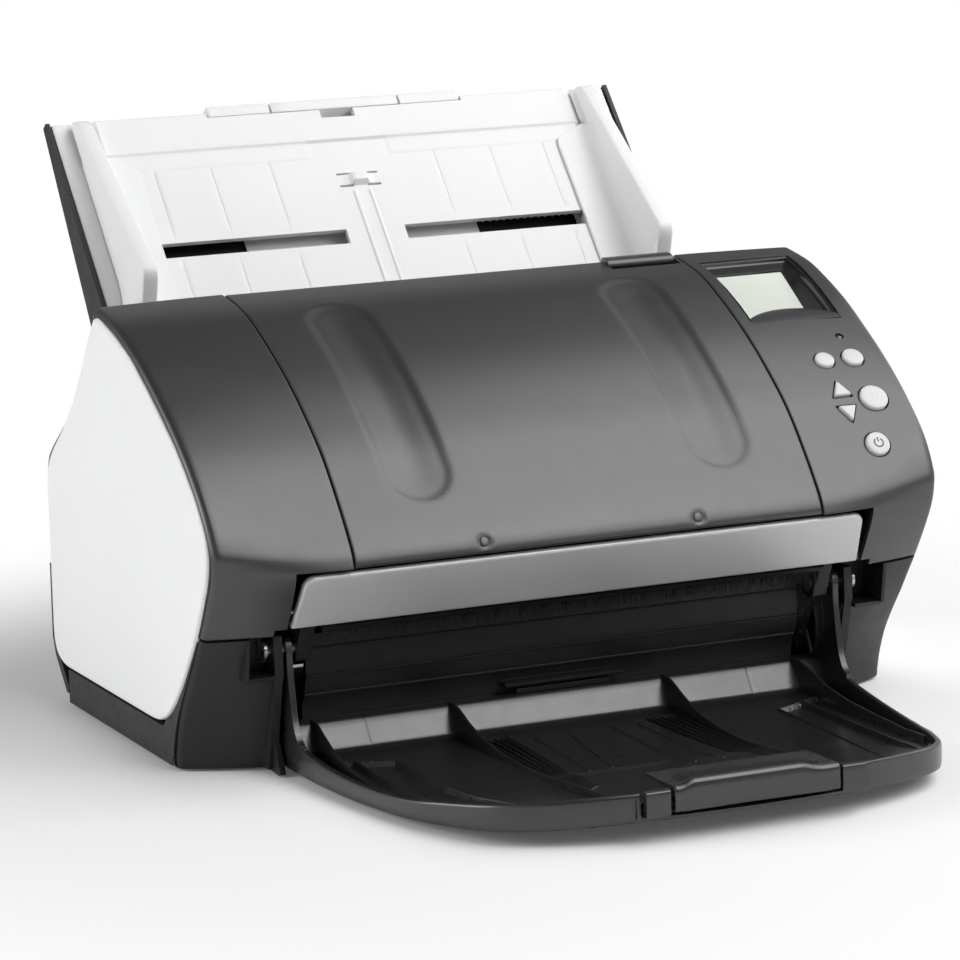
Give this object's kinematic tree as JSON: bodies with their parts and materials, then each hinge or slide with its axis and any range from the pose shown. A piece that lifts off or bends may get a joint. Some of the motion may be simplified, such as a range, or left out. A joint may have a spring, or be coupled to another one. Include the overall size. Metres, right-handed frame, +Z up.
{
  "type": "sheet fed document scanner",
  "caption": "Compact desktop document scanner with a sloped paper chute, a hinged front feed unit, an operator panel and a fold-up output tray.",
  "frame": {"origin": "on the desk plane, at the middle of the whole footprint from the tray's front edge to the top of the chute", "axes": "+X to the operator's right, +Y to the rear, +Z up"},
  "size_m": [0.299, 0.37, 0.222],
  "materials": {
    "dark_cover": "fine textured charcoal plastic",
    "black_casing": "fine textured black plastic",
    "white_panel": "satin white plastic",
    "chute_white": "satin white plastic",
    "grey_strip": "satin mid grey plastic",
    "tray_black": "semi gloss black plastic",
    "brush_fibre": "black bristles",
    "button_grey": "satin light grey plastic",
    "bezel_black": "gloss black plastic",
    "display": "pale grey-green display",
    "indicator": "unlit indicator",
    "steel": "plated steel",
    "optics_black": "black plastic",
    "clear_glass": "polished glass",
    "circuit_board": "green solder mask",
    "motor_metal": "plated steel can",
    "brass_pulley": "turned brass",
    "bush_plastic": "natural acetal",
    "roller_rubber": "soft ribbed rubber",
    "black_rubber": "black rubber"
  },
  "bodies": {
    "base": {"base_tray": "black_casing", "left_side_panel": "white_panel", "right_side_panel": "white_panel", "left_top_cover": "dark_cover", "right_top_cover": "dark_cover", "rear_cover": "black_casing", "left_frame_plate": "steel", "right_frame_plate": "steel", "chassis_tie_bars": "steel", "lower_paper_guide": "black_casing", "rear_optical_unit": "optics_black", "rear_scan_glass": "clear_glass", "main_board": "circuit_board", "feed_motor": "motor_metal", "hinge_pins": "steel", "rubber_feet": "black_rubber", "casing_screws": "steel", "lcd_bezel": "bezel_black", "lcd_display": "display", "panel_board": "circuit_board", "status_light": "indicator", "rear_sockets": "steel", "drive_belts": "black_rubber", "shaft_bushes": "bush_plastic", "chute_panel": "chute_white", "chute_rear_shell": "black_casing"},
    "front_unit": {"front_centre_cover": "dark_cover", "front_strip": "grey_strip", "inner_frame": "black_casing", "front_optical_unit": "optics_black", "front_scan_glass": "clear_glass", "exit_brush": "brush_fibre", "cover_screw_caps": "dark_cover"},
    "release_lever": {"release_lever": "dark_cover"},
    "pick_roller": {"pick_shaft": "steel", "pick_roller_tyre": "roller_rubber"},
    "feed_roller": {"feed_shaft": "steel", "feed_roller_tyres": "roller_rubber"},
    "eject_roller": {"eject_shaft": "steel", "eject_roller_tyres": "roller_rubber"},
    "motor_pulley": {"motor_pulley": "brass_pulley"},
    "brake_roller": {"brake_roller": "bush_plastic", "brake_roller_tyre": "roller_rubber"},
    "feed_pinch": {"feed_pinch_rollers": "bush_plastic"},
    "eject_pinch": {"eject_pinch_rollers": "bush_plastic"},
    "left_guide": {"left_side_guide": "chute_white"},
    "right_guide": {"right_side_guide": "chute_white"},
    "guide_pinion": {"guide_pinion": "chute_white"},
    "chute_extension_1": {"chute_extension_1": "chute_white"},
    "chute_extension_2": {"chute_extension_2": "chute_white"},
    "output_tray": {"output_tray": "tray_black"},
    "tray_extension_1": {"tray_extension_1": "tray_black"},
    "tray_extension_2": {"tray_extension_2": "tray_black"},
    "paper_stopper": {"paper_stopper": "tray_black"},
    "menu_button": {"menu_button": "button_grey"},
    "stop_button": {"stop_button": "button_grey"},
    "up_button": {"up_button": "button_grey"},
    "down_button": {"down_button": "button_grey"},
    "scan_button": {"scan_button": "button_grey"},
    "power_button": {"power_button": "button_grey"}
  },
  "joints": [
    {"name": "front_unit_hinge", "type": "hinge", "parent": "base", "child": "front_unit", "pos_m": [0, -0.0312, 0.047], "axis": [-1, 0, 0], "range_deg": [-75, 0]},
    {"name": "tray_fold", "type": "hinge", "parent": "base", "child": "output_tray", "pos_m": [0, -0.0312, 0.047], "axis": [-1, 0, 0], "range_deg": [0, 95]},
    {"name": "tray_slide_1", "type": "slide", "parent": "output_tray", "child": "tray_extension_1", "axis": [0, -0.9971, 0.0767], "range_m": [0, 0.046]},
    {"name": "tray_slide_2", "type": "slide", "parent": "tray_extension_1", "child": "tray_extension_2", "axis": [0, -0.9971, 0.0767], "range_m": [0, 0.046]},
    {"name": "stopper_flip", "type": "hinge", "parent": "tray_extension_2", "child": "paper_stopper", "pos_m": [0, -0.1826, 0.0125], "axis": [1, 0, 0], "range_deg": [0, 85]},
    {"name": "release_lever_pull", "type": "hinge", "parent": "front_unit", "child": "release_lever", "pos_m": [0.0784, 0.0624, 0.1506], "axis": [1, 0, 0], "range_deg": [0, 12], "stiffness_Nm_per_rad": 0.05},
    {"name": "chute_slide_1", "type": "slide", "parent": "base", "child": "chute_extension_1", "axis": [0, 0.6639, 0.7478], "range_m": [0, 0.034]},
    {"name": "chute_slide_2", "type": "slide", "parent": "chute_extension_1", "child": "chute_extension_2", "axis": [0, 0.6639, 0.7478], "range_m": [0, 0.034]},
    {"name": "left_guide_slide", "type": "slide", "parent": "base", "child": "left_guide", "axis": [1, 0, 0], "range_m": [0, 0.08]},
    {"name": "right_guide_slide", "type": "slide", "parent": "base", "child": "right_guide", "axis": [-1, 0, 0], "range_m": [0, 0.08]},
    {"name": "guide_pinion_spin", "type": "hinge", "parent": "base", "child": "guide_pinion", "pos_m": [0, 0.14078, 0.166], "axis": [0, -0.7478, 0.6639], "range_deg": [-1, 575]},
    {"name": "feed_spin", "type": "hinge", "parent": "base", "child": "feed_roller", "pos_m": [0, 0.0331, 0.07883], "axis": [1, 0, 0], "continuous": true},
    {"name": "pick_spin", "type": "hinge", "parent": "base", "child": "pick_roller", "pos_m": [0, 0.06366, 0.08915], "axis": [1, 0, 0], "continuous": true},
    {"name": "eject_spin", "type": "hinge", "parent": "base", "child": "eject_roller", "pos_m": [0, -0.01372, 0.05621], "axis": [1, 0, 0], "continuous": true},
    {"name": "motor_spin", "type": "hinge", "parent": "base", "child": "motor_pulley", "pos_m": [0, 0.0808, 0.042], "axis": [1, 0, 0], "continuous": true},
    {"name": "brake_spin", "type": "hinge", "parent": "front_unit", "child": "brake_roller", "pos_m": [0, 0.054, 0.10914], "axis": [1, 0, 0], "continuous": true},
    {"name": "feed_pinch_spin", "type": "hinge", "parent": "front_unit", "child": "feed_pinch", "pos_m": [0, 0.02693, 0.09161], "axis": [1, 0, 0], "continuous": true},
    {"name": "eject_pinch_spin", "type": "hinge", "parent": "front_unit", "child": "eject_pinch", "pos_m": [0, -0.0199, 0.069], "axis": [1, 0, 0], "continuous": true},
    {"name": "menu_button_press", "type": "slide", "parent": "base", "child": "menu_button", "axis": [0, 0.578, -0.816], "range_m": [0, 0.0008], "stiffness_N_per_m": 400},
    {"name": "stop_button_press", "type": "slide", "parent": "base", "child": "stop_button", "axis": [0, 0.5728, -0.8197], "range_m": [0, 0.0008], "stiffness_N_per_m": 400},
    {"name": "up_button_press", "type": "slide", "parent": "base", "child": "up_button", "axis": [0, 0.6423, -0.7664], "range_m": [0, 0.0008], "stiffness_N_per_m": 400},
    {"name": "down_button_press", "type": "slide", "parent": "base", "child": "down_button", "axis": [0, 0.7111, -0.7031], "range_m": [0, 0.0008], "stiffness_N_per_m": 400},
    {"name": "scan_button_press", "type": "slide", "parent": "base", "child": "scan_button", "axis": [0, 0.6681, -0.7441], "range_m": [0, 0.0008], "stiffness_N_per_m": 400},
    {"name": "power_button_press", "type": "slide", "parent": "base", "child": "power_button", "axis": [0, 0.7781, -0.6281], "range_m": [0, 0.0008], "stiffness_N_per_m": 400}
  ],
  "couplings": [
    {"joint": "right_guide_slide", "follows": "left_guide_slide", "ratio": 1},
    {"joint": "guide_pinion_spin", "follows": "left_guide_slide", "rad_per_m": 125},
    {"joint": "pick_spin", "follows": "feed_spin", "ratio": 1},
    {"joint": "eject_spin", "follows": "feed_spin", "ratio": 1},
    {"joint": "motor_spin", "follows": "feed_spin", "ratio": 2},
    {"joint": "feed_pinch_spin", "follows": "feed_spin", "ratio": -1.3333},
    {"joint": "eject_pinch_spin", "follows": "feed_spin", "ratio": -1.3333}
  ]
}
